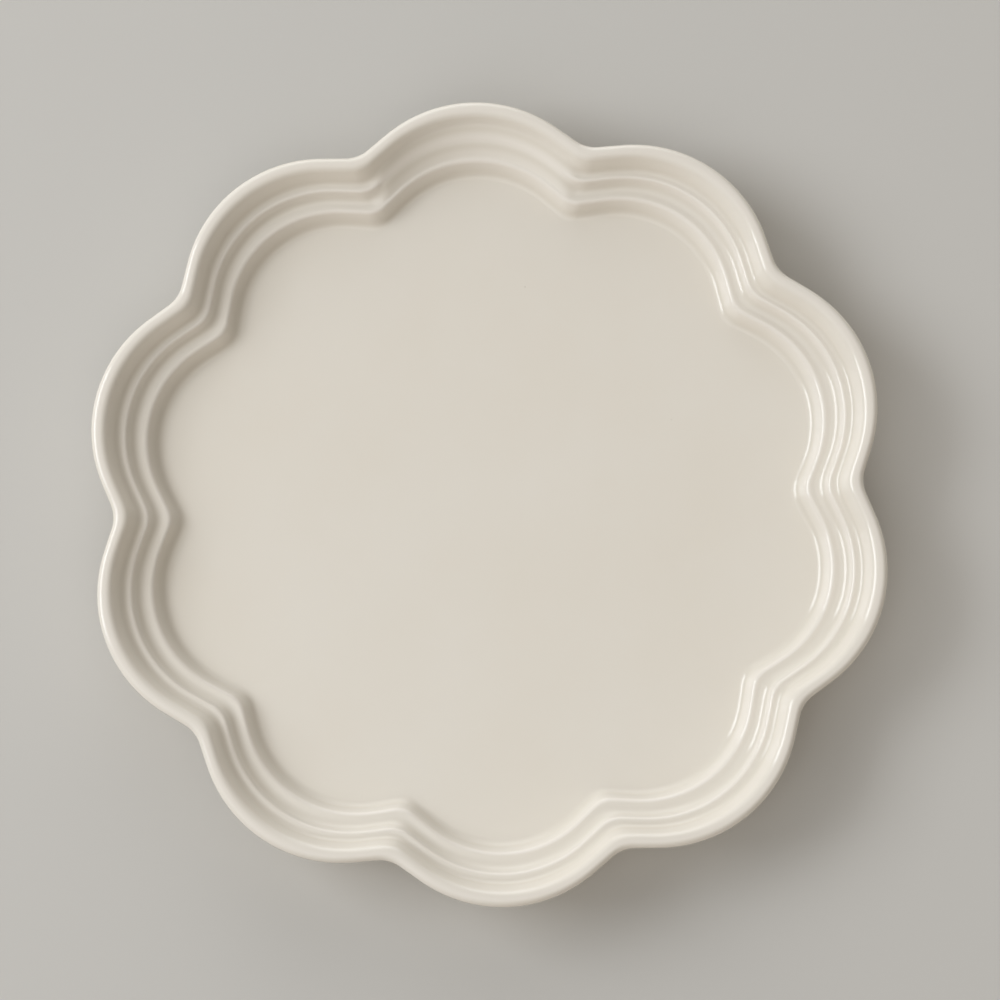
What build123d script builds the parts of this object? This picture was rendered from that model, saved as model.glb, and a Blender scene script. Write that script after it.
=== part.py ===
from build123d import *
import os
from math import atan2, ceil, cos, degrees, pi, radians, sin, sqrt, tan

# A scalloped stoneware dessert plate. Sizes are in millimetres, angles in degrees.
# The foot ring stands on z = 0, centred on the Z axis, and the lobe with the smooth panel is on +Y.
# Sizes are those of the finished plate, over the glaze, unless a name says otherwise.

# Outline of the lip, seen from above
PLATE_WIDTH = 200.0  # twice the reach of a lobe's tip from the centre
LOBE_COUNT = 10
SCALLOP_DEPTH = 7.9  # how far a notch comes in from the reach of the lobes
NOTCH_RADIUS = 8.5
FLANK_TILT = 20.3  # how far a lobe's straight flank leans from square to the middle of the notch

# Rim section, inside: a lip, then two steps down to the well floor, with heights above that floor
WELL_DEPTH = 11.6
LIP_WIDTH = 3.4
UPPER_STEP_HEIGHT = 7.0
UPPER_STEP_WIDTH = 2.1
LOWER_STEP_HEIGHT = 4.4
LOWER_STEP_WIDTH = 3.5
RISER_SLOPE = 60.0
STEP_TILT = 7.0  # each step falls back a little towards the riser behind it

# Rim section, outside
FLOOR_THICKNESS = 4.6
LIP_DEPTH = 3.6  # upright outer edge below the crest of the lip
HEEL_WIDTH = 3.5  # how far the outer wall's foot stands outside the edge of the well floor

# Rounding of the rim section, from the well floor over the lip to the underside
FLOOR_RADIUS = 2.75
LOWER_CREST_RADIUS = 1.5
LOWER_GROOVE_RADIUS = 3.0
UPPER_CREST_RADIUS = 0.95
UPPER_GROOVE_RADIUS = 1.9
LIP_INNER_RADIUS = 2.4
LIP_OUTER_RADIUS = 1.6
LIP_UNDER_RADIUS = 3.0
HEEL_RADIUS = 6.0

# Smooth panel that fills the steps on one lobe
PANEL_HEIGHT = 8.8  # where the panel leaves the upper riser
PANEL_LEDGE = 0.9  # part of the lower step that shows below the panel
PANEL_END_GAP = 2.5  # from the panel's end to the middle of the notch beside it
PANEL_ROOT = 2.2  # how far the panel's clay reaches in behind the steps
PANEL_LAP = 1.0  # how far it runs into the riser and the lower step

# Foot ring, with the sizes of its bare clay
FOOT_SET_BACK = 13.8  # how far the ring stands inside the heel, at a notch
FOOT_WIDTH = 5.0
FOOT_HEIGHT = 2.4
FOOT_ROOT_RADIUS = 1.2
FOOT_EDGE_RADIUS = 0.8

# Glaze
GLAZE_THICKNESS = 0.4
BARE_FOOT_HEIGHT = 1.0  # strip of the foot ring that is wiped clean of glaze
GLAZE_EDGE_RADIUS = 0.1

# Roundings share a side that is too short for them, and a rounding under the glaze keeps at least this radius
SIDE_SHARE = 0.98
TIGHTEST_RADIUS = 0.05

# The rim's surfaces pass through sections at most this many degrees apart
SECTION_SPACING = 3.0
SAME_HEIGHT = 0.0001

# Directions
UP = Vector(0, 0, 1)
FULL_TURN = degrees(2 * pi)
PANEL_FACING = 90.0  # measured from +X, so the panel's lobe looks along +Y

# Outline: each lobe and each notch is an arc, and a straight flank runs from one to the other
lobe_step = FULL_TURN / LOBE_COUNT
half_step = lobe_step / 2
tip_reach = PLATE_WIDTH / 2
notch_reach = tip_reach - SCALLOP_DEPTH + NOTCH_RADIUS
flank_tilt = radians(FLANK_TILT)
flank_facing = radians(half_step) + flank_tilt
flank_reach = notch_reach * cos(flank_tilt) - NOTCH_RADIUS
lobe_reach = (tip_reach - flank_reach) / (1 - cos(flank_facing))
lobe_radius = tip_reach - lobe_reach
lobe_end = atan2(lobe_radius * sin(flank_facing), lobe_reach + lobe_radius * cos(flank_facing))
notch_turn = atan2(NOTCH_RADIUS * sin(flank_tilt), notch_reach - NOTCH_RADIUS * cos(flank_tilt))
panel_way = Vector(1, 0, 0).rotate(Axis.Z, PANEL_FACING)

# Height of the well floor above the foot plane
floor_height = FOOT_HEIGHT + FLOOR_THICKNESS

# Corners of the inside of the rim: distances inside the lip's edge, and heights above the well floor
riser_run = 1 / tan(radians(RISER_SLOPE))
step_fall = tan(radians(STEP_TILT))
upper_groove_height = UPPER_STEP_HEIGHT - UPPER_STEP_WIDTH * step_fall
lower_groove_height = LOWER_STEP_HEIGHT - LOWER_STEP_WIDTH * step_fall
upper_groove_inset = LIP_WIDTH + (WELL_DEPTH - upper_groove_height) * riser_run
upper_crest_inset = upper_groove_inset + UPPER_STEP_WIDTH
lower_groove_inset = upper_crest_inset + (UPPER_STEP_HEIGHT - lower_groove_height) * riser_run
lower_crest_inset = lower_groove_inset + LOWER_STEP_WIDTH
floor_inset = lower_crest_inset + LOWER_STEP_HEIGHT * riser_run
heel_inset = floor_inset - HEEL_WIDTH

# Outer radius of the foot ring
foot_radius = tip_reach - SCALLOP_DEPTH - heel_inset - FOOT_SET_BACK


def at(inset, height):
    """Point of the rim section at a distance inside the lip's edge and a height above the well floor."""
    return Vector(-inset, floor_height + height)


def parallel(corners, radii, cover):
    """Corners and radii of the line that runs cover to the right of a line."""
    sides = [(end - start).normalized() for start, end in zip(corners, corners[1:])]
    inward = [Vector(side.Y, -side.X) * cover for side in sides]
    moved = [corners[0] + inward[0]]
    moved_radii = []
    for corner, radius, side, next_side, into, next_into in zip(
        corners[1:], radii, sides, sides[1:], inward, inward[1:]
    ):
        moved.append(corner + (into + next_into) / (1 + side.dot(next_side)))
        turns_left = side.cross(next_side).Z > 0
        moved_radius = radius + cover if turns_left else radius - cover
        moved_radii.append(max(moved_radius, TIGHTEST_RADIUS))
    moved.append(corners[-1] + inward[-1])
    return moved, moved_radii


def fitted(corners, radii):
    """Radii that fit the sides of a line: two roundings that overlap on a side are both reduced."""
    sides = [end - start for start, end in zip(corners, corners[1:])]
    turns = [radians(side.get_angle(next_side)) for side, next_side in zip(sides, sides[1:])]
    cuts = [0.0] + [radius * tan(turn / 2) for radius, turn in zip(radii, turns)] + [0.0]
    shares = [
        min(1.0, SIDE_SHARE * side.length / (cut + next_cut))
        for side, cut, next_cut in zip(sides, cuts, cuts[1:])
    ]
    return [radius * min(share, next_share) for radius, share, next_share in zip(radii, shares, shares[1:])]


def rounded_line(corners, radii):
    """Wire along a line with its corners rounded, without its two straight ends."""
    edges = []
    for before, corner, after, radius in zip(corners, corners[1:], corners[2:], fitted(corners, radii)):
        back = (before - corner).normalized()
        ahead = (after - corner).normalized()
        half_turn = radians(FULL_TURN / 2 - back.get_angle(ahead)) / 2
        cut = radius * tan(half_turn)
        middle = corner + (back + ahead).normalized() * radius * (1 / cos(half_turn) - 1)
        arc = ThreePointArc(corner + back * cut, middle, corner + ahead * cut)
        if edges:
            edges.append(Line(edges[-1] @ 1, arc @ 0))
        edges.append(arc)
    return Wire(edges)


def rim_line(cover):
    """Rim section from the well floor over the lip to the underside, cover deep under the surface."""
    corners = [
        at(tip_reach, 0),
        at(floor_inset, 0),
        at(lower_crest_inset, LOWER_STEP_HEIGHT),
        at(lower_groove_inset, lower_groove_height),
        at(upper_crest_inset, UPPER_STEP_HEIGHT),
        at(upper_groove_inset, upper_groove_height),
        at(LIP_WIDTH, WELL_DEPTH),
        at(0, WELL_DEPTH),
        at(0, WELL_DEPTH - LIP_DEPTH),
        at(heel_inset, -FLOOR_THICKNESS),
        at(tip_reach, -FLOOR_THICKNESS),
    ]
    radii = [
        FLOOR_RADIUS,
        LOWER_CREST_RADIUS,
        LOWER_GROOVE_RADIUS,
        UPPER_CREST_RADIUS,
        UPPER_GROOVE_RADIUS,
        LIP_INNER_RADIUS,
        LIP_OUTER_RADIUS,
        LIP_UNDER_RADIUS,
        HEEL_RADIUS,
    ]
    return rounded_line(*parallel(corners, radii, cover))


def foot_line(cover, lowest, edge_radius):
    """Foot ring section from the underside round the ring to the recess inside it."""
    outer = foot_radius + GLAZE_THICKNESS - cover
    inner = foot_radius - FOOT_WIDTH - GLAZE_THICKNESS + cover
    underside = FOOT_HEIGHT + cover
    root_radius = FOOT_ROOT_RADIUS + cover
    corners = [
        Vector(tip_reach, underside),
        Vector(outer, underside),
        Vector(outer, lowest),
        Vector(inner, lowest),
        Vector(inner, underside),
        Vector(0, underside),
    ]
    return rounded_line(corners, [root_radius, edge_radius, edge_radius, root_radius])


def lip_reach(angle):
    """Distance from the centre to the lip's edge, at an angle from the middle of a lobe."""
    from_lobe = radians(abs((angle + half_step) % lobe_step - half_step))
    from_notch = radians(half_step) - from_lobe
    if from_lobe < lobe_end:
        across = lobe_reach * sin(from_lobe)
        return lobe_reach * cos(from_lobe) + sqrt(lobe_radius**2 - across**2)
    if from_notch > notch_turn:
        return flank_reach / cos(flank_facing - from_lobe)
    across = notch_reach * sin(from_notch)
    return notch_reach * cos(from_notch) - sqrt(NOTCH_RADIUS**2 - across**2)


def section_plane(angle):
    """Plane across the rim at an angle from the panel's middle: x goes out from the lip's edge, y up."""
    outward = panel_way.rotate(Axis.Z, angle)
    return Plane(outward * lip_reach(angle), x_dir=outward, z_dir=outward.cross(UP))


def sections(line, first, last):
    """A rim section set up at even steps from one angle to another."""
    count = ceil((last - first) / SECTION_SPACING)
    return [section_plane(first + (last - first) * step / count) * line for step in range(count + 1)]


def scalloped_faces(line):
    """Faces of a rim section carried from the middle of one lobe to the next, and so round the plate."""
    scallop = Shell.make_loft(sections(line, 0, lobe_step)).faces()
    return [Rot(0, 0, lobe * lobe_step) * face for lobe in range(LOBE_COUNT) for face in scallop]


def level_wire(faces, height):
    """Edges of the rim's faces that run round the plate at a height."""
    edges = [edge for face in faces for edge in face.edges()]
    return Wire([edge for edge in edges if all(abs(end.Z - height) < SAME_HEIGHT for end in edge.vertices())])


def plate_solid(rim, foot):
    """Solid between the rim section, the two faces of the floor and the foot ring."""
    floor_edge = rim @ 0
    heel = rim @ 1
    foot_outside = foot @ 0
    recess_edge = foot @ 1
    rim_faces = scalloped_faces(rim)
    floor_face = Face(level_wire(rim_faces, floor_edge.Y))
    base_outline = level_wire(rim_faces, heel.Y)
    foot_circle = Pos(0, 0, heel.Y) * Wire.make_circle(foot_outside.X)
    base_face = Face(base_outline, [foot_circle])
    recess_face = Face(Pos(0, 0, heel.Y) * Wire.make_circle(recess_edge.X))
    foot_faces = Shell.revolve(Plane.XZ * foot, FULL_TURN, Axis.Z).faces()
    return Solid(Shell([*rim_faces, floor_face, base_face, recess_face, *foot_faces]))


def panel_clay(cover):
    """Clay that fills the steps of one lobe, under a smooth panel at a depth under the finished surface."""
    top = at(LIP_WIDTH + (WELL_DEPTH - PANEL_HEIGHT) * riser_run, PANEL_HEIGHT)
    bottom = at(lower_crest_inset - PANEL_LEDGE, LOWER_STEP_HEIGHT - PANEL_LEDGE * step_fall)
    along = (top - bottom).normalized()
    inward = Vector(along.Y, -along.X)
    start = bottom - along * PANEL_LAP + inward * cover
    end = top + along * PANEL_LAP + inward * cover
    root = inward * PANEL_ROOT
    section = Wire(Polyline(start, end, end + root, start + root, close=True).edges())
    middle_reach = tip_reach - SCALLOP_DEPTH - (upper_groove_inset + lower_groove_inset) / 2
    end_angle = half_step - degrees((PANEL_END_GAP + cover) / middle_reach)
    return Solid.make_loft(sections(section, -end_angle, end_angle))


def plate(cover, foot):
    """The plate's whole shape at a depth under the finished surface, with its panel."""
    return plate_solid(rim_line(cover), foot) + panel_clay(cover)


clay = plate(GLAZE_THICKNESS, foot_line(GLAZE_THICKNESS, 0, FOOT_EDGE_RADIUS))
glazed = plate(0, foot_line(0, BARE_FOOT_HEIGHT, GLAZE_EDGE_RADIUS))
coats = (glazed - clay).solids().sort_by(SortBy.VOLUME)

pieces = {
    "stoneware_body": clay,
    "face_glaze": coats[-1],
    "base_glaze": coats[0],
}

os.makedirs("parts", exist_ok=True)
for name, piece in pieces.items():
    piece.label = name
    export_step(piece, f"parts/{name}.step")
    print(name, "mm3", round(piece.volume, 1), "solids", len(piece.solids()), "valid", piece.is_valid)
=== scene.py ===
import logging
import math
from collections.abc import Callable
from dataclasses import dataclass
from enum import Enum

import bpy
from mathutils import Matrix, Vector


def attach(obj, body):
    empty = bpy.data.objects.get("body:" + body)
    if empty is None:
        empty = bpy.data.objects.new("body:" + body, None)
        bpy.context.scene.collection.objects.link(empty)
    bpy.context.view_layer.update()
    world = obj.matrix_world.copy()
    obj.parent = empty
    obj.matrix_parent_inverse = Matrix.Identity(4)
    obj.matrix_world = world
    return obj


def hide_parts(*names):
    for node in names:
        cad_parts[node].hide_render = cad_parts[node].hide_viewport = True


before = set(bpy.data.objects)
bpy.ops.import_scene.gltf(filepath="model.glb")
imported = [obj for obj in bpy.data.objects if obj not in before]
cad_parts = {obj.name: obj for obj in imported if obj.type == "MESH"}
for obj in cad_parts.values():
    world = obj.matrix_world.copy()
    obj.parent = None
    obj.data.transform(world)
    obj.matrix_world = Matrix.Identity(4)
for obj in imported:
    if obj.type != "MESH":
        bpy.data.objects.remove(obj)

# A scalloped stoneware dessert plate
# Sizes are in millimetres and degrees, and become metres and radians as they are used. The plate stands on
# z = 0, centred on the Z axis, and the lobe with the smooth panel is on +Y.

LOG = logging.getLogger("dessert_plate")
MM = 0.001
TOUCH = 0.002 * MM  # points nearer than this are one point
UP = Vector((0.0, 0.0, 1.0))

# The sRGB curve
TOE_END = 0.04045
TOE_SLOPE = 12.92
CURVE_OFFSET = 0.055
CURVE_POWER = 2.4

# Sockets of the node that mixes colours, which has several of each name
MIX_SHARE = 0
MIX_FIRST = 6
MIX_SECOND = 7
MIX_RESULT = 2


class Node(Enum):
    """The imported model's nodes."""

    BODY = "stoneware_body"
    FACE_GLAZE = "face_glaze"
    BASE_GLAZE = "base_glaze"


class Slot(Enum):
    """The record's material slots."""

    GLAZE = "glaze"
    BISQUE = "bisque"


class NotchSteps(Enum):
    """How finely a notch of the lip is turned: one beside the panel holds the ends of the grooves."""

    PLAIN = 10
    PANEL_END = 44


def linear(hex_colour: str) -> tuple[float, float, float, float]:
    """Turn an sRGB hex colour into linear light.

    Args:
        hex_colour: six hex digits.

    Returns:
        Red, green, blue and alpha.
    """
    light = []
    for level in bytes.fromhex(hex_colour):
        share = level / 255
        if share <= TOE_END:
            light.append(share / TOE_SLOPE)
        else:
            light.append(((share + CURVE_OFFSET) / (1 + CURVE_OFFSET)) ** CURVE_POWER)
    return (*light, 1.0)


def per_metre(size_mm: float) -> float:
    """Scale of a pattern whose cells are size_mm wide."""
    return 1 / (size_mm * MM)


def add_node(
    tree: bpy.types.NodeTree, kind: str, settings: dict[str, object], inputs: dict[str | int, object]
) -> bpy.types.Node:
    """Add a shader node.

    Args:
        tree: the material's or world's node tree.
        kind: Blender's name for the node type.
        settings: the node's own properties.
        inputs: a value, or an output socket to link, for each input.

    Returns:
        The new node.
    """
    node = tree.nodes.new(kind)
    for name, value in settings.items():
        setattr(node, name, value)
    for name, value in inputs.items():
        if isinstance(value, bpy.types.NodeSocket):
            tree.links.new(value, node.inputs[name])
        else:
            node.inputs[name].default_value = value
    return node


def empty_material(name: str) -> tuple[bpy.types.Material, bpy.types.NodeTree]:
    """Make a material whose node tree is empty.

    Args:
        name: the material's name.

    Returns:
        The material and its node tree.
    """
    material = bpy.data.materials.new(name)
    material.use_nodes = True
    material.node_tree.nodes.clear()
    return material, material.node_tree


def work_out(tree: bpy.types.NodeTree, operation: str, first: object, second: object) -> bpy.types.NodeSocket:
    """Work out a number from two others.

    Args:
        tree: the node tree.
        operation: Blender's name for the sum.
        first: a number, or a socket.
        second: a number, or a socket.

    Returns:
        The result's socket.
    """
    return add_node(tree, "ShaderNodeMath", {"operation": operation}, {0: first, 1: second}).outputs["Value"]


def carry_over(
    tree: bpy.types.NodeTree,
    value: bpy.types.NodeSocket,
    before: tuple[float, float],
    after: tuple[float, float],
    kind: str = "LINEAR",
) -> bpy.types.NodeSocket:
    """Carry a value from one range over to another, and hold it there past the ends.

    Args:
        tree: the material's node tree.
        value: the value.
        before: the ends of its own range.
        after: the ends of the new range.
        kind: Blender's name for how it goes from end to end.

    Returns:
        The new value's socket.
    """
    low, high = before
    first, last = after
    inputs = {"Value": value, "From Min": low, "From Max": high, "To Min": first, "To Max": last}
    return add_node(tree, "ShaderNodeMapRange", {"interpolation_type": kind}, inputs).outputs["Result"]


def mix_colours(
    tree: bpy.types.NodeTree, share: bpy.types.NodeSocket, first: object, second: object
) -> bpy.types.NodeSocket:
    """Mix two colours.

    Args:
        tree: the material's node tree.
        share: how much of the second colour shows.
        first: a colour, or a socket.
        second: a colour, or a socket.

    Returns:
        The mixed colour's socket.
    """
    inputs = {MIX_SHARE: share, MIX_FIRST: first, MIX_SECOND: second}
    return add_node(tree, "ShaderNodeMix", {"data_type": "RGBA"}, inputs).outputs[MIX_RESULT]


def noise(
    tree: bpy.types.NodeTree,
    place: bpy.types.NodeSocket,
    size_mm: float,
    detail: float,
    roughness: float = 0.5,
) -> bpy.types.NodeSocket:
    """Cloudy noise.

    Args:
        tree: the material's node tree.
        place: coordinates.
        size_mm: how wide its clouds are.
        detail: how many finer layers lie on them.
        roughness: how strong the finer layers are.

    Returns:
        A socket between 0 and 1.
    """
    inputs = {"Vector": place, "Scale": per_metre(size_mm), "Detail": detail, "Roughness": roughness}
    return add_node(tree, "ShaderNodeTexNoise", {}, inputs).outputs["Fac"]


def bump(
    tree: bpy.types.NodeTree,
    depth_mm: float,
    height: bpy.types.NodeSocket,
    under: bpy.types.NodeSocket | None = None,
    pitted: bool = False,
) -> bpy.types.NodeSocket:
    """Tilt a surface's normals as a relief does.

    Args:
        tree: the material's node tree.
        depth_mm: how high the relief is.
        height: the relief, between 0 and 1.
        under: normals of a broader relief that it lies on.
        pitted: whether the relief goes in instead of out.

    Returns:
        The normal's socket.
    """
    inputs = {"Strength": 1.0, "Distance": depth_mm * MM, "Height": height}
    if under is not None:
        inputs["Normal"] = under
    return add_node(tree, "ShaderNodeBump", {"invert": pitted}, inputs).outputs["Normal"]


@dataclass(frozen=True)
class CreamGlaze:
    """Opaque cream glaze on stoneware, dipped and fired glossy.

    The eye sees one even cream with soft cloudy changes, paler over a crest and deeper in a groove
    where light and shade are painted into the colour, a few iron specks and pinholes, and mirror-sharp
    lights that waver a little with the fired skin.
    """

    name: str = "cream_glaze_dipped_glossy"
    # the attribute that marks the crests for painted light and the grooves for painted shade
    painted_light_attribute: str = "painted_crest_light_groove_shade"
    cream_hex: str = "ECE6DB"
    cloud_hex: str = "E8E0D2"
    # painted light and shade: the paler cream on the crests and the lip, the deeper cream in the grooves
    crest_light_hex: str = "F0E9DE"
    groove_shade_hex: str = "E0D8C9"
    speck_hex: str = "8F7F6A"
    ior: float = 1.52
    smoothest: float = 0.055
    roughest: float = 0.1
    sheen_detail: float = 2.0
    cloud_mm: float = 34.0
    cloud_detail: float = 3.0
    cloud_roughness: float = 0.55
    # how far the colour goes towards the painted light and the painted shade
    painted_light_share: float = 0.75
    wave_mm: float = 11.0
    wave_depth_mm: float = 0.012
    skin_mm: float = 1.6
    skin_depth_mm: float = 0.0012
    relief_detail: float = 1.0
    speck_spacing_mm: float = 11.0
    speck_radius_mm: float = 0.22
    speck_share: float = 0.3  # of the cells, how many hold a speck
    speck_strength: float = 0.55
    pinhole_spacing_mm: float = 7.0
    pinhole_radius_mm: float = 0.2
    pinhole_depth_mm: float = 0.03

    def dots(
        self, tree: bpy.types.NodeTree, place: bpy.types.NodeSocket, spacing_mm: float, radius_mm: float
    ) -> bpy.types.NodeSocket:
        """Scattered round dots.

        Args:
            tree: the material's node tree.
            place: coordinates.
            spacing_mm: how far apart the dots lie.
            radius_mm: a dot's radius.

        Returns:
            A socket that is 1 in the middle of a dot and 0 between the dots.
        """
        cells = add_node(tree, "ShaderNodeTexVoronoi", {}, {"Vector": place, "Scale": per_metre(spacing_mm)})
        reach = radius_mm / spacing_mm
        disc = carry_over(tree, cells.outputs["Distance"], (0.0, reach), (1.0, 0.0), "SMOOTHSTEP")
        chance = add_node(tree, "ShaderNodeSeparateColor", {}, {"Color": cells.outputs["Color"]})
        chosen = work_out(tree, "LESS_THAN", chance.outputs["Red"], self.speck_share)
        return work_out(tree, "MULTIPLY", disc, chosen)

    def colour(self, tree: bpy.types.NodeTree, place: bpy.types.NodeSocket) -> bpy.types.NodeSocket:
        """Colour of the glaze: clouds, then painted light on the crests and painted shade in the grooves,
        then specks.

        Args:
            tree: the material's node tree.
            place: coordinates.

        Returns:
            The colour's socket.
        """
        clouds = noise(tree, place, self.cloud_mm, self.cloud_detail, self.cloud_roughness)
        cloudy = mix_colours(tree, clouds, linear(self.cream_hex), linear(self.cloud_hex))
        # the mark is above 0 near a groove, which gets painted shade, and below 0 near a crest or the lip,
        # which gets painted light
        painted_mark = add_node(tree, "ShaderNodeAttribute", {"attribute_name": self.painted_light_attribute}, {}).outputs["Fac"]
        crest_light_share = carry_over(tree, painted_mark, (0.0, -1.0), (0.0, self.painted_light_share))
        lit_crests = mix_colours(tree, crest_light_share, cloudy, linear(self.crest_light_hex))
        # painted shade: the deeper cream in the grooves
        depth = carry_over(tree, painted_mark, (0.0, 1.0), (0.0, self.painted_light_share))
        shaded_grooves = mix_colours(tree, depth, lit_crests, linear(self.groove_shade_hex))
        specks = self.dots(tree, place, self.speck_spacing_mm, self.speck_radius_mm)
        strength = work_out(tree, "MULTIPLY", specks, self.speck_strength)
        return mix_colours(tree, strength, shaded_grooves, linear(self.speck_hex))

    def relief(self, tree: bpy.types.NodeTree, place: bpy.types.NodeSocket) -> bpy.types.NodeSocket:
        """Normals of the fired skin: broad waves, fine orange peel and pinholes.

        Args:
            tree: the material's node tree.
            place: coordinates.

        Returns:
            The normal's socket.
        """
        waves = noise(tree, place, self.wave_mm, self.relief_detail)
        wavy = bump(tree, self.wave_depth_mm, waves)
        skin = noise(tree, place, self.skin_mm, self.relief_detail)
        peel = bump(tree, self.skin_depth_mm, skin, wavy)
        holes = self.dots(tree, place, self.pinhole_spacing_mm, self.pinhole_radius_mm)
        return bump(tree, self.pinhole_depth_mm, holes, peel, pitted=True)

    def make(self) -> bpy.types.Material:
        """Make the glaze's material.

        Returns:
            The material.
        """
        material, tree = empty_material(self.name)
        place = add_node(tree, "ShaderNodeTexCoord", {}, {}).outputs["Object"]
        sheen = noise(tree, place, self.wave_mm, self.sheen_detail)
        surface = add_node(
            tree,
            "ShaderNodeBsdfPrincipled",
            {},
            {
                "Base Color": self.colour(tree, place),
                "Roughness": carry_over(tree, sheen, (0.0, 1.0), (self.smoothest, self.roughest)),
                "IOR": self.ior,
                "Normal": self.relief(tree, place),
            },
        )
        add_node(tree, "ShaderNodeOutputMaterial", {}, {"Surface": surface.outputs["BSDF"]})
        return material


@dataclass(frozen=True)
class WipedBisque:
    """Unglazed stoneware of the foot ring, wiped with a sponge and fired.

    The eye sees a dry, warm buff clay with fine grit, darker grog and no shine.
    """

    name: str = "buff_stoneware_wiped"
    clay_hex: str = "D9C6AB"
    pale_hex: str = "E3D5BF"
    grog_hex: str = "9C8468"
    roughness: float = 0.82
    tone_mm: float = 12.0
    tone_detail: float = 4.0
    grain_detail: float = 2.0
    grit_mm: float = 0.5  # finer in the clay itself, and drawn this coarse so that it shows
    grit_depth_mm: float = 0.03
    grog_mm: float = 1.4
    grog_edge: tuple[float, float] = (0.64, 0.74)  # noise at which a grain starts and is full
    grog_strength: float = 0.7

    def make(self) -> bpy.types.Material:
        """Make the bare clay's material.

        Returns:
            The material.
        """
        material, tree = empty_material(self.name)
        place = add_node(tree, "ShaderNodeTexCoord", {}, {}).outputs["Object"]
        tone = noise(tree, place, self.tone_mm, self.tone_detail)
        clay = mix_colours(tree, tone, linear(self.clay_hex), linear(self.pale_hex))
        grains = noise(tree, place, self.grog_mm, self.grain_detail)
        grog = carry_over(tree, grains, self.grog_edge, (0.0, self.grog_strength), "SMOOTHSTEP")
        grit = noise(tree, place, self.grit_mm, self.grain_detail)
        surface = add_node(
            tree,
            "ShaderNodeBsdfPrincipled",
            {},
            {
                "Base Color": mix_colours(tree, grog, clay, linear(self.grog_hex)),
                "Roughness": self.roughness,
                "Normal": bump(tree, self.grit_depth_mm, grit),
            },
        )
        add_node(tree, "ShaderNodeOutputMaterial", {}, {"Surface": surface.outputs["BSDF"]})
        return material


@dataclass(frozen=True)
class MattFloorPaint:
    """Plain matt paint of the studio floor: pale, even and without shine."""

    name: str = "studio_floor_matt_paint"
    paint_hex: str = "CBC8C2"
    roughness: float = 0.9

    def make(self) -> bpy.types.Material:
        """Make the floor's material.

        Returns:
            The material.
        """
        material, tree = empty_material(self.name)
        surface = add_node(
            tree,
            "ShaderNodeBsdfPrincipled",
            {},
            {"Base Color": linear(self.paint_hex), "Roughness": self.roughness},
        )
        add_node(tree, "ShaderNodeOutputMaterial", {}, {"Surface": surface.outputs["BSDF"]})
        return material


def start_piece(name: str) -> bpy.types.Object:
    """Start a piece from a small plane, in edit mode with all its points selected.

    Args:
        name: the piece's name.

    Returns:
        The piece's object, at the origin.
    """
    bpy.ops.object.select_all(action="DESELECT")
    bpy.ops.mesh.primitive_plane_add(size=MM)
    piece = bpy.context.object
    piece.name = name
    piece.data.name = name
    bpy.ops.object.mode_set(mode="EDIT")
    bpy.ops.mesh.select_all(action="SELECT")
    return piece


def select_points(piece: bpy.types.Object, wanted: Callable[[Vector], bool]) -> int:
    """Select the points of a piece in edit mode by their place.

    Args:
        piece: the piece, which is in edit mode.
        wanted: says of a point whether it is selected.

    Returns:
        How many points are selected.
    """
    bpy.ops.mesh.select_mode(type="VERT")
    bpy.ops.mesh.select_all(action="DESELECT")
    bpy.ops.object.mode_set(mode="OBJECT")
    for vertex in piece.data.vertices:
        vertex.select = wanted(vertex.co)
    count = sum(vertex.select for vertex in piece.data.vertices)
    bpy.ops.object.mode_set(mode="EDIT")
    bpy.ops.mesh.select_mode(type="VERT")
    return count


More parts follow.
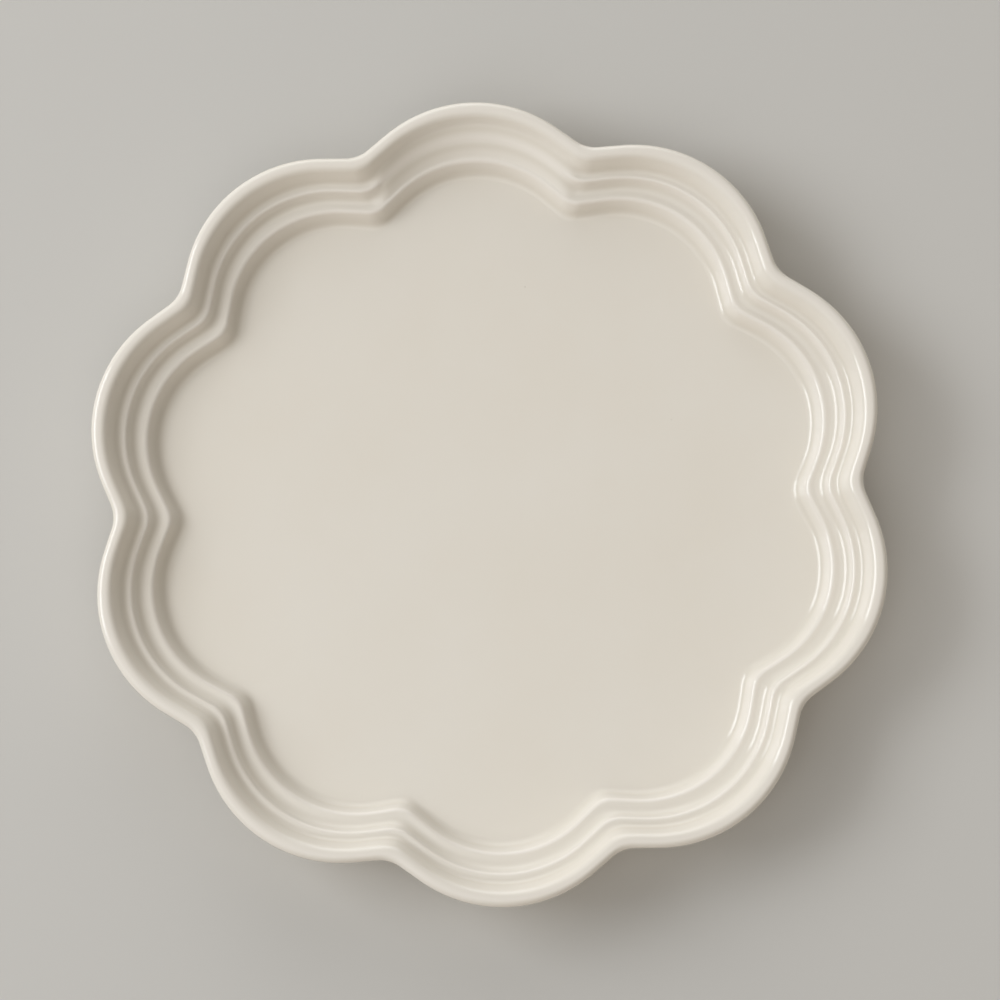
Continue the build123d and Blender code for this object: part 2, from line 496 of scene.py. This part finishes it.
@dataclass(frozen=True)
class Scallop:
    """Outline of the lip from above: an arc for each lobe and notch, with straight flanks between them."""

    plate_width: float = 200.0
    lobe_count: int = 10
    depth: float = 7.9
    notch_radius: float = 8.5
    flank_tilt: float = 20.3
    round_reach: float = 70.0  # the underside and the floor are round inside this radius
    lobed_reach: float = 82.0  # and follow the lip outside this one

    @property
    def step(self) -> float:
        """Angle from one lobe to the next, in radians."""
        return 2 * math.pi / self.lobe_count

    @property
    def tip_reach(self) -> float:
        """Distance from the centre to a lobe's tip."""
        return self.plate_width / 2

    @property
    def notch_reach(self) -> float:
        """Distance from the centre to a notch's own centre."""
        return self.tip_reach - self.depth + self.notch_radius

    @property
    def flank_facing(self) -> float:
        """Angle between the way out along a lobe and the way that its flank faces, in radians."""
        return self.step / 2 + math.radians(self.flank_tilt)

    @property
    def flank_reach(self) -> float:
        """Distance from the centre to the line of a flank."""
        return self.notch_reach * math.cos(math.radians(self.flank_tilt)) - self.notch_radius

    @property
    def lobe_reach(self) -> float:
        """Distance from the centre to a lobe's own centre."""
        return (self.tip_reach - self.flank_reach) / (1 - math.cos(self.flank_facing))

    def lip_reach(self, angle: float) -> float:
        """Distance from the centre to the lip's edge.

        Args:
            angle: the angle from the middle of a lobe, in radians.

        Returns:
            The distance, in millimetres.
        """
        from_lobe = abs(angle - self.step * round(angle / self.step))
        from_notch = self.step / 2 - from_lobe
        lobe_radius = self.tip_reach - self.lobe_reach
        flank = self.flank_reach / math.cos(self.flank_facing - from_lobe)
        flank_place = flank * math.sin(self.flank_facing - from_lobe)
        if flank_place > self.lobe_reach * math.sin(self.flank_facing):
            across = self.lobe_reach * math.sin(from_lobe)
            return self.lobe_reach * math.cos(from_lobe) + math.sqrt(lobe_radius**2 - across**2)
        if flank_place > self.notch_reach * math.sin(math.radians(self.flank_tilt)):
            return flank
        across = self.notch_reach * math.sin(from_notch)
        return self.notch_reach * math.cos(from_notch) - math.sqrt(self.notch_radius**2 - across**2)

    def pull(self, place: Vector) -> Vector:
        """How far a point of a round plate moves to make the plate scalloped.

        Args:
            place: the point, in millimetres.

        Returns:
            The move towards the centre, none at a lobe's tip and near the centre.
        """
        reach = math.hypot(place.x, place.y)
        share = (reach - self.round_reach) / (self.lobed_reach - self.round_reach)
        inward = self.tip_reach - self.lip_reach(math.atan2(-place.x, place.y))
        flat = Vector((place.x, place.y, 0.0))
        return flat.normalized() * -inward * min(1.0, max(0.0, share))


@dataclass(frozen=True)
class Corner:
    """A corner of the rim's section: its distance inside the lip's edge, its height and its rounding."""

    inset: float
    height: float
    radius: float


@dataclass(frozen=True)
class RimSection:
    """Section of the rim, over the glaze: the lip, two steps, the edge of the well, and the outer wall."""

    floor_height: float = 7.0
    floor_thickness: float = 4.6
    well_depth: float = 11.6
    lip_width: float = 3.4
    upper_step_height: float = 7.0
    upper_step_width: float = 2.1
    lower_step_height: float = 4.4
    lower_step_width: float = 3.5
    riser_slope: float = 60.0
    step_tilt: float = 7.0
    lip_depth: float = 3.6
    heel_width: float = 3.5
    floor_radius: float = 2.75
    lower_crest_radius: float = 1.5
    lower_groove_radius: float = 3.0
    upper_crest_radius: float = 0.95
    upper_groove_radius: float = 1.9
    lip_inner_radius: float = 2.4
    lip_outer_radius: float = 1.6
    lip_under_radius: float = 3.0
    heel_radius: float = 6.0
    side_share: float = 0.98  # of a side, the most that the roundings at its ends take up together
    degrees_per_step: float = 6.5

    @property
    def riser_run(self) -> float:
        """How far a riser goes in for each unit that it goes up."""
        return 1 / math.tan(math.radians(self.riser_slope))

    @property
    def step_fall(self) -> float:
        """How far a step falls back for each unit of its width."""
        return math.tan(math.radians(self.step_tilt))

    @property
    def upper_groove_inset(self) -> float:
        """Where the upper step meets the riser behind it."""
        groove_height = self.upper_step_height - self.upper_step_width * self.step_fall
        return self.lip_width + (self.well_depth - groove_height) * self.riser_run

    @property
    def upper_crest_inset(self) -> float:
        """Where the upper step ends."""
        return self.upper_groove_inset + self.upper_step_width

    @property
    def lower_groove_height(self) -> float:
        """Height of the lower step where it meets the riser behind it."""
        return self.lower_step_height - self.lower_step_width * self.step_fall

    @property
    def lower_groove_inset(self) -> float:
        """Where the lower step meets the riser behind it."""
        return self.upper_crest_inset + (self.upper_step_height - self.lower_groove_height) * self.riser_run

    @property
    def lower_crest_inset(self) -> float:
        """Where the lower step ends."""
        return self.lower_groove_inset + self.lower_step_width

    @property
    def floor_inset(self) -> float:
        """Where the last riser would meet the well floor."""
        return self.lower_crest_inset + self.lower_step_height * self.riser_run

    @property
    def underside(self) -> float:
        """Height of the plate's underside."""
        return self.floor_height - self.floor_thickness

    def corners(self) -> list[Corner]:
        """Corners of the section, from the well floor over the lip to the underside.

        Returns:
            The corners, with heights over the floor. The first and the last are only directions, and aren't
            rounded.
        """
        upper_groove_height = self.upper_step_height - self.upper_step_width * self.step_fall
        far_in = 2 * self.floor_inset
        return [
            Corner(far_in, 0.0, 0.0),
            Corner(self.floor_inset, 0.0, self.floor_radius),
            Corner(self.lower_crest_inset, self.lower_step_height, self.lower_crest_radius),
            Corner(self.lower_groove_inset, self.lower_groove_height, self.lower_groove_radius),
            Corner(self.upper_crest_inset, self.upper_step_height, self.upper_crest_radius),
            Corner(self.upper_groove_inset, upper_groove_height, self.upper_groove_radius),
            Corner(self.lip_width, self.well_depth, self.lip_inner_radius),
            Corner(0.0, self.well_depth, self.lip_outer_radius),
            Corner(0.0, self.well_depth - self.lip_depth, self.lip_under_radius),
            Corner(self.floor_inset - self.heel_width, -self.floor_thickness, self.heel_radius),
            Corner(far_in, -self.floor_thickness, 0.0),
        ]


@dataclass(frozen=True)
class Bend:
    """One rounded corner of a section: where it starts, its centre, its turn and in how many steps."""

    start: Vector
    centre: Vector
    turn: float  # positive to the left
    steps: int


def bends(corners: list[Corner], side_share: float, degrees_per_step: float) -> list[Bend]:
    """Work out the rounded corners of a section, with roundings that fit their sides.

    Args:
        corners: the section's corners.
        side_share: the most of a side that its two roundings take up together.
        degrees_per_step: how finely a rounding is turned.

    Returns:
        A bend for each inner corner, in the plane of the section, with x outwards from the lip's edge and y
        up.
    """
    points = [Vector((-corner.inset, corner.height)) for corner in corners]
    sides = [after - before for before, after in zip(points, points[1:])]
    turns = [before.angle_signed(after) * -1 for before, after in zip(sides, sides[1:])]
    cuts = [corner.radius * math.tan(abs(turn) / 2) for corner, turn in zip(corners[1:], turns)]
    spans = zip(sides, [0.0, *cuts], [*cuts, 0.0])
    shares = [min(1.0, side_share * side.length / (cut + next_cut)) for side, cut, next_cut in spans]
    made = []
    for place, turn in enumerate(turns):
        radius = corners[place + 1].radius * min(shares[place], shares[place + 1])
        along = sides[place].normalized()
        start = points[place + 1] - along * radius * math.tan(abs(turn) / 2)
        left = Vector((-along.y, along.x)) * math.copysign(1.0, turn)
        steps = max(2, round(math.degrees(abs(turn)) / degrees_per_step))
        made.append(Bend(start, start + left * radius, turn, steps))
    return made


@dataclass(frozen=True)
class Panel:
    """Smooth panel that fills the steps of one lobe, with soft ends to the grooves beside it."""

    top_height: float = 8.8
    ledge: float = 0.9
    softness: float = 0.1  # of the folds along its upper and lower edge
    half_turn: float = 18.6  # where the panel is gone, as an angle about the plate's centre
    blend_turn: float = 4.0  # angle over which it fades

    def height(self, section: RimSection, inset: float) -> float:
        """Height of the panel over the well floor, which drops away over the lower step.

        Args:
            section: the rim's section.
            inset: distance inside the lip's edge.

        Returns:
            The height.
        """
        top = section.lip_width + (section.well_depth - self.top_height) * section.riser_run
        foot = section.lower_crest_inset - self.ledge
        foot_height = section.lower_step_height - self.ledge * section.step_fall
        slope = (self.top_height - foot_height) / (foot - top)
        drop = foot_height - (inset - foot - self.ledge / 2) / section.riser_run
        return min(self.top_height - (inset - top) * slope, drop)

    def share(self, place: Vector) -> float:
        """How fully the panel stands at a place.

        Args:
            place: a point of the rim.

        Returns:
            1 along the panel, falling to 0 past its ends.
        """
        angle = abs(math.degrees(math.atan2(place.x, place.y)))
        share = min(1.0, max(0.0, (self.half_turn - angle) / self.blend_turn))
        return share * share * (3 - 2 * share)

    def lift(self, section: RimSection, place: Vector, inset: float) -> float:
        """How far a point of the round rim is raised to the panel.

        Args:
            section: the rim's section.
            place: the point.
            inset: its distance inside the lip's edge.

        Returns:
            The lift, which is 0 on the lip and on the outside of the rim.
        """
        height = place.z - section.floor_height
        outside = max(0.0, section.well_depth - section.lip_depth / 2 - inset)
        if inset < section.lip_width or height < outside:
            return 0.0
        rise = self.height(section, inset) - height
        return self.share(place) * (rise + math.hypot(rise, self.softness)) / 2


@dataclass(frozen=True)
class FootRing:
    """Outside of the foot ring as far as the glaze covers it."""

    radius: float = 66.1
    root_radius: float = 1.2
    glaze_end_height: float = 1.0
    root_steps: int = 6


@dataclass
class FaceGlaze:
    """The coat of glaze over the well, the steps, the lip and the outside, down to the foot ring."""

    scallop: Scallop
    section: RimSection
    panel: Panel
    foot: FootRing
    finish: CreamGlaze
    thickness: float = 0.4
    notch_turn: float = 6.4  # angle about the plate's centre in which a notch's columns are closer
    lobe_steps: int = 22
    run_step: float = 0.8
    most_run_steps: int = 5
    floor_rings: tuple[float, ...] = (0.97, 0.85, 0.65, 0.4, 0.15)
    smooth_angle: float = 35.0
    painted_light_reach: float = 0.9  # how far the painted light reaches from a crest and the painted shade from a groove

    def section_point(self, outward: Vector, flat: Vector) -> Vector:
        """Place of a point of the section.

        Args:
            outward: the way out from the plate's centre.
            flat: the point in the plane of the section, outwards from the lip's edge and up from the well's
                floor.

        Returns:
            The place, in metres.
        """
        return (outward * (self.scallop.tip_reach + flat.x) + UP * (self.section.floor_height + flat.y)) * MM

    def draw_section(self) -> None:
        """Draw the section at one side of the panel's lobe, with runs extruded and roundings spun."""
        angle = (self.scallop.step - math.radians(self.notch_turn)) / 2
        outward = Vector((math.sin(angle), math.cos(angle), 0.0))
        facing = outward.cross(UP)
        rounded = bends(self.section.corners(), self.section.side_share, self.section.degrees_per_step)
        last = self.section_point(outward, rounded[0].start)
        bpy.ops.mesh.merge(type="CENTER")
        bpy.ops.transform.translate(value=last)
        for bend in rounded:
            start = self.section_point(outward, bend.start)
            run = start - last
            if run.length > TOUCH:
                steps = min(self.most_run_steps, math.ceil(run.length / (self.run_step * MM)))
                for _ in range(steps):
                    bpy.ops.mesh.extrude_region_move(TRANSFORM_OT_translate={"value": run / steps})
            centre = self.section_point(outward, bend.centre)
            bpy.ops.mesh.spin(steps=bend.steps, angle=bend.turn, center=centre, axis=-facing)
            last = centre + Matrix.Rotation(bend.turn, 3, facing) @ (start - centre)

    def turn_stretch(self, name: str, notch: NotchSteps, first: int, count: int) -> bpy.types.Object:
        """Turn the section through one lobe and one notch, and copy that round the plate.

        Args:
            name: the name of the stretch of rim.
            notch: how finely its notches are turned.
            first: how many lobes on from the panel's lobe it begins.
            count: how many lobes it has.

        Returns:
            The stretch of rim, still round.
        """
        stretch = start_piece(name)
        self.draw_section()
        step = self.scallop.step
        notch_turn = math.radians(self.notch_turn)
        centre = (0.0, 0.0, 0.0)
        bpy.ops.mesh.select_all(action="SELECT")
        bpy.ops.mesh.spin(steps=self.lobe_steps, angle=step - notch_turn, center=centre, axis=-UP)
        bpy.ops.mesh.spin(steps=notch.value, angle=notch_turn, center=centre, axis=-UP)
        bpy.ops.mesh.select_all(action="SELECT")
        bpy.ops.transform.rotate(value=-first * step, orient_axis="Z", center_override=centre)
        bpy.ops.mesh.spin(steps=count - 1, angle=(count - 1) * step, dupli=True, center=centre, axis=-UP)
        bpy.ops.object.mode_set(mode="OBJECT")
        return stretch

    def join_rim(self) -> bpy.types.Object:
        """Join the rim from its plain stretch and the two lobes that have a notch beside the panel.

        Returns:
            The rim, in edit mode.
        """
        plain = self.turn_stretch("rim_plain", NotchSteps.PLAIN, 1, self.scallop.lobe_count - 2)
        rim = self.turn_stretch("face_glaze_coat", NotchSteps.PANEL_END, -1, 2)
        bpy.ops.object.select_all(action="DESELECT")
        plain.select_set(True)
        rim.select_set(True)
        bpy.context.view_layer.objects.active = rim
        bpy.ops.object.join()
        bpy.ops.object.mode_set(mode="EDIT")
        bpy.ops.mesh.select_all(action="SELECT")
        bpy.ops.mesh.remove_doubles(threshold=TOUCH)
        return rim

    def close_floor(self, coat: bpy.types.Object) -> None:
        """Carry the edge of the well in to the middle of the floor, ring by ring.

        Args:
            coat: the coat, in edit mode.
        """
        height = self.section.floor_height * MM
        select_points(coat, lambda point: abs(point.z - height) < TOUCH)
        centre = (0.0, 0.0, height)
        before = 1.0
        for share in self.floor_rings:
            bpy.ops.mesh.extrude_edges_move()
            bpy.ops.transform.resize(value=(share / before, share / before, 1.0), center_override=centre)
            before = share
        bpy.ops.mesh.extrude_edges_move()
        bpy.ops.mesh.merge(type="CENTER")

    def join_foot(self, coat: bpy.types.Object) -> None:
        """Carry the underside in to the foot ring and down its side.

        Args:
            coat: the coat, in edit mode.
        """
        height = self.section.underside
        select_points(coat, lambda point: abs(point.z - height * MM) < TOUCH)
        heel = bends(self.section.corners(), self.section.side_share, self.section.degrees_per_step)[-1]
        reach = self.scallop.tip_reach + heel.centre.x
        for step in range(self.foot.root_steps + 1):
            turn = math.pi / 2 * step / self.foot.root_steps
            next_reach = self.foot.radius + self.foot.root_radius * (1 - math.sin(turn))
            next_height = self.section.underside - self.foot.root_radius * (1 - math.cos(turn))
            self.ring_on(reach, height, next_reach, next_height)
            reach, height = next_reach, next_height
        self.ring_on(reach, height, reach, self.foot.glaze_end_height)

    @staticmethod
    def ring_on(reach: float, height: float, next_reach: float, next_height: float) -> None:
        """Extrude the selected ring of points to another radius and height.

        Args:
            reach: the ring's radius.
            height: the ring's height.
            next_reach: the radius of the new ring.
            next_height: the height of the new ring.
        """
        share = next_reach / reach
        bpy.ops.mesh.extrude_edges_move(TRANSFORM_OT_translate={"value": UP * (next_height - height) * MM})
        bpy.ops.transform.resize(value=(share, share, 1.0), center_override=(0.0, 0.0, next_height * MM))

    def shape_rim(self, coat: bpy.types.Object) -> None:
        """Raise the panel, scallop the round rim and mark the crests for painted light and the grooves for
        painted shade.

        No operator does this, so the points are moved one by one.

        Args:
            coat: the coat, in object mode.
        """
        section = self.section
        # crest lines get painted light and groove lines get painted shade
        lit_crests = [section.lower_crest_inset, section.upper_crest_inset, section.lip_width / 2]
        shaded_grooves = [section.floor_inset, section.lower_groove_inset, section.upper_groove_inset]
        painted_marks = coat.data.attributes.new(self.finish.painted_light_attribute, "FLOAT", "POINT")
        for vertex, painted_mark in zip(coat.data.vertices, painted_marks.data):
            place = vertex.co / MM
            inset = self.scallop.tip_reach - math.hypot(place.x, place.y)
            lift = self.panel.lift(section, place, inset)
            vertex.co += (UP * lift + self.scallop.pull(place)) * MM
            if place.z >= section.floor_height:
                # painted light and shade: above 0 near a groove, below 0 near a crest
                painted_mark.value = self.nearness(inset, shaded_grooves) - self.nearness(inset, lit_crests)

    def nearness(self, inset: float, lines: list[float]) -> float:
        """How near a place is to the nearest of some lines round the rim.

        Args:
            inset: the place's distance inside the lip's edge.
            lines: the lines' distances.

        Returns:
            1 on a line, falling to 0 away from it.
        """
        return max(math.exp(-(((inset - line) / self.painted_light_reach) ** 2)) for line in lines)

    def build(self) -> bpy.types.Object:
        """Model the coat and dress it.

        Returns:
            The coat.
        """
        coat = self.join_rim()
        self.close_floor(coat)
        self.join_foot(coat)
        bpy.ops.mesh.select_all(action="SELECT")
        bpy.ops.mesh.normals_make_consistent(inside=False)
        bpy.ops.object.mode_set(mode="OBJECT")
        self.shape_rim(coat)
        wall = coat.modifiers.new("glaze_wall", "SOLIDIFY")
        wall.thickness = self.thickness * MM
        wall.offset = -1.0
        bpy.ops.object.modifier_apply(modifier=wall.name)
        bpy.ops.object.shade_smooth_by_angle(angle=math.radians(self.smooth_angle))
        coat.data.materials.clear()
        coat.data.materials.append(self.finish.make())
        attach(coat, "root")
        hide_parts(Node.FACE_GLAZE.value)
        LOG.info("%s: %d faces", coat.name, len(coat.data.polygons))
        return coat


@dataclass
class Underside:
    """The bare clay body, of which the foot ring shows, and the glaze in the recess inside that ring."""

    glaze: bpy.types.Material
    bisque: WipedBisque

    def dress(self) -> None:
        """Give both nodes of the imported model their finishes."""
        clay = self.bisque.make()
        for node, material in ((Node.BODY, clay), (Node.BASE_GLAZE, self.glaze)):
            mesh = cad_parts[node.value].data
            mesh.materials.clear()
            mesh.materials.append(material)
            LOG.info("%s: dressed in %s", node.value, material.name)


def way_to(azimuth: float, elevation: float) -> Vector:
    """Turn a direction seen from the plate into a vector.

    Args:
        azimuth: degrees from +X, to the left.
        elevation: degrees above the floor.

    Returns:
        The way, one unit long.
    """
    level = Matrix.Rotation(math.radians(azimuth), 3, "Z") @ Vector((1.0, 0.0, 0.0))
    return level * math.cos(math.radians(elevation)) + UP * math.sin(math.radians(elevation))


@dataclass(frozen=True)
class Glow:
    """A smooth glow on the walls of the room, brightest in one direction."""

    azimuth: float
    elevation: float
    strength: float
    tint_hex: str = "FFFFFF"
    narrowness: float = 8.0

    def shine(self, tree: bpy.types.NodeTree) -> bpy.types.NodeSocket:
        """Add the glow to the room.

        Args:
            tree: the world's node tree.

        Returns:
            The glow's shader socket.
        """
        seen = add_node(tree, "ShaderNodeTexCoord", {}, {}).outputs["Generated"]
        middle = way_to(self.azimuth, self.elevation)
        near = add_node(tree, "ShaderNodeVectorMath", {"operation": "DOT_PRODUCT"}, {0: seen, 1: middle})
        facing = work_out(tree, "MAXIMUM", near.outputs["Value"], 0.0)
        falloff = work_out(tree, "POWER", facing, self.narrowness)
        brightness = work_out(tree, "MULTIPLY", falloff, self.strength)
        inputs = {"Color": linear(self.tint_hex), "Strength": brightness}
        return add_node(tree, "ShaderNodeBackground", {}, inputs).outputs["Background"]


@dataclass(frozen=True)
class Softbox:
    """A soft rectangular lamp aimed at the plate, with its place as a direction from the plate."""

    name: str
    azimuth: float
    elevation: float
    width: float  # metres, like the height and the distance
    height: float
    power: float
    tint_hex: str = "FFFFFF"
    distance: float = 2.0

    def hang(self) -> None:
        """Add the lamp."""
        lamp = bpy.data.lights.new(self.name, "AREA")
        lamp.shape = "RECTANGLE"
        lamp.size = self.width
        lamp.size_y = self.height
        lamp.energy = self.power
        lamp.color = linear(self.tint_hex)[:3]
        way = way_to(self.azimuth, self.elevation)
        holder = bpy.data.objects.new(self.name, lamp)
        holder.location = way * self.distance
        holder.rotation_euler = (-way).to_track_quat("-Z", "Y").to_euler()
        bpy.context.scene.collection.objects.link(holder)


@dataclass
class Studio:
    """Plain pale floor, soft light and the camera nearly straight above the plate."""

    paint: MattFloorPaint
    lamps: tuple[Softbox, ...]
    glows: tuple[Glow, ...]
    floor_size: float = 8.0
    room_hex: str = "F4EEE6"
    room_strength: float = 0.02
    camera_reach: float = 1200.0
    camera_tilt: float = 9.15
    camera_lean: float = -0.58
    camera_roll: float = -2.69
    camera_aside: tuple[float, float] = (2.68, -0.2)
    aim_height: float = 17.5
    lens: float = 176.256
    sensor_width: float = 36.0

    def lay_floor(self) -> None:
        """Lay the floor that the plate stands on."""
        bpy.ops.object.select_all(action="DESELECT")
        bpy.ops.mesh.primitive_plane_add(size=self.floor_size)
        floor = bpy.context.object
        floor.name = "studio_floor"
        floor.data.materials.append(self.paint.make())

    def light(self) -> None:
        """Set the soft light of the room and hang the lamps."""
        world = bpy.data.worlds.new("studio_room")
        bpy.context.scene.world = world
        world.use_nodes = True
        tree = world.node_tree
        tree.nodes.clear()
        room = {"Color": linear(self.room_hex), "Strength": self.room_strength}
        light = add_node(tree, "ShaderNodeBackground", {}, room).outputs["Background"]
        for glow in self.glows:
            both = add_node(tree, "ShaderNodeAddShader", {}, {0: light, 1: glow.shine(tree)})
            light = both.outputs["Shader"]
        add_node(tree, "ShaderNodeOutputWorld", {}, {"Surface": light})
        for lamp in self.lamps:
            lamp.hang()

    def set_camera(self) -> None:
        """Set up the camera at the photograph's angle."""
        turn = (
            Matrix.Rotation(math.radians(self.camera_roll), 4, "Z")
            @ Matrix.Rotation(math.radians(self.camera_tilt), 4, "X")
            @ Matrix.Rotation(math.radians(self.camera_lean), 4, "Y")
        )
        aside = Vector((*self.camera_aside, self.camera_reach)) * MM
        camera = bpy.data.objects.new("camera", bpy.data.cameras.new("camera"))
        bpy.context.scene.collection.objects.link(camera)
        camera.matrix_world = Matrix.Translation(turn @ aside + UP * self.aim_height * MM) @ turn
        camera.data.sensor_width = self.sensor_width
        camera.data.lens = self.lens
        bpy.context.scene.camera = camera

    def build(self) -> None:
        """Build the studio."""
        self.lay_floor()
        self.light()
        self.set_camera()
        bpy.context.scene.view_settings.view_transform = "Standard"
        LOG.info("studio: %d lamps, %d glows", len(self.lamps), len(self.glows))


def main() -> None:
    """Build the plate's looks and the studio round it."""
    logging.basicConfig(level=logging.INFO)
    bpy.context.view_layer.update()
    coat = FaceGlaze(Scallop(), RimSection(), Panel(), FootRing(), CreamGlaze()).build()
    Underside(coat.data.materials[0], WipedBisque()).dress()
    lamps = (
        Softbox(
            "window_pane",
            azimuth=165.0,
            elevation=34.5,
            width=1.4,
            height=0.7,
            power=14.8,
            tint_hex="F2F8FF",
        ),
        Softbox(
            "window_wall",
            azimuth=165.0,
            elevation=36.0,
            width=1.3,
            height=1.4,
            power=9.3,
            tint_hex="FBFCFF",
        ),
    )
    glows = (
        Glow(azimuth=90.0, elevation=12.0, strength=3.0),
        Glow(azimuth=270.0, elevation=12.0, strength=0.7, tint_hex="FFEFE4"),
        Glow(azimuth=225.0, elevation=40.0, strength=0.55),
        Glow(azimuth=240.0, elevation=65.0, strength=0.8, tint_hex="EFF7FF"),
        Glow(azimuth=300.0, elevation=65.0, strength=0.8, tint_hex="FFF2DE"),
    )
    Studio(MattFloorPaint(), lamps, glows).build()


if __name__ == "__main__":
    main()
